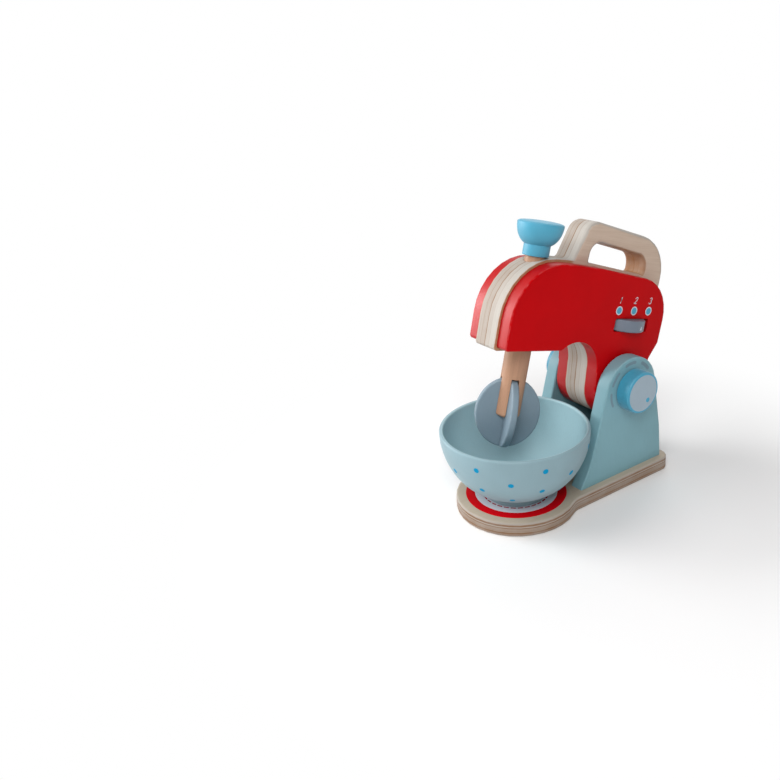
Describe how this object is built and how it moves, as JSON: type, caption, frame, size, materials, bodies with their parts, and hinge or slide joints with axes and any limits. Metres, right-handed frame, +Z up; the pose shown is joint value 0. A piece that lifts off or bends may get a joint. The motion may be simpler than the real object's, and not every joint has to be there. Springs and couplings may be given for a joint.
{
  "type": "toy stand mixer",
  "caption": "Wooden toy stand mixer with tipping head, hand-turned crossed-disc beater, turning dials, thumbwheel switch and a loose round bowl.",
  "frame": {"origin": "on the underside of the base board, under the middle of the bowl's place", "axes": "+Z up from the table, -Y towards the nose and the bowl, +Y towards the rear, +X towards the side with the thumbwheel switch"},
  "size_m": [0.12, 0.2134, 0.2345],
  "materials": {
    "red_paint": "satin red paint on plywood",
    "blue_paint": "satin pale blue paint on wood",
    "teal_paint": "satin teal paint on turned wood",
    "grey_paint": "satin grey paint on plywood",
    "plywood": "clear varnish on plywood, layers open at the edges",
    "beech": "clear varnish on turned hardwood",
    "zinc_steel": "zinc plated",
    "fibre": "plain dark fibre"
  },
  "bodies": {
    "stand": {"base_board": "plywood", "base_screw_left_front": "zinc_steel", "base_screw_left_rear": "zinc_steel", "base_screw_right_front": "zinc_steel", "base_screw_right_rear": "zinc_steel", "stand_side_left": "blue_paint", "stand_side_right": "blue_paint", "stand_spacer": "blue_paint", "pivot_washer_left": "fibre", "pivot_washer_right": "fibre"},
    "head": {"head_core": "plywood", "head_side_left": "red_paint", "head_side_right": "red_paint", "head_dowel_nose": "beech", "head_dowel_middle": "beech", "head_dowel_rear": "beech", "wheel_pin": "zinc_steel"},
    "dials": {"pivot_axle": "beech", "dial_left": "teal_paint", "dial_right": "teal_paint"},
    "beater": {"top_knob": "teal_paint", "drive_dowel": "beech", "beater_shaft": "beech", "beater_disc_a": "grey_paint", "beater_disc_b": "grey_paint"},
    "switch": {"speed_wheel": "grey_paint"},
    "bowl": {"bowl": "blue_paint"}
  },
  "joints": [
    {"name": "head_tilt", "type": "hinge", "parent": "stand", "child": "head", "pos_m": [0, 0.0945, 0.0867], "axis": [-1, 0, 0], "range_deg": [-15, 40]},
    {"name": "dial_turn", "type": "hinge", "parent": "stand", "child": "dials", "pos_m": [0, 0.0945, 0.0867], "axis": [1, 0, 0], "continuous": true},
    {"name": "beater_spin", "type": "hinge", "parent": "head", "child": "beater", "pos_m": [0, 0.00052, 0.11188], "axis": [0, 0.2588, 0.9659], "continuous": true},
    {"name": "switch_turn", "type": "hinge", "parent": "head", "child": "switch", "pos_m": [0.011, 0.1062, 0.13502], "axis": [0, 0.2588, 0.9659], "continuous": true},
    {"name": "bowl_lift", "type": "slide", "parent": "stand", "child": "bowl", "axis": [0, 0, 1], "range_m": [0, 0.03]}
  ]
}
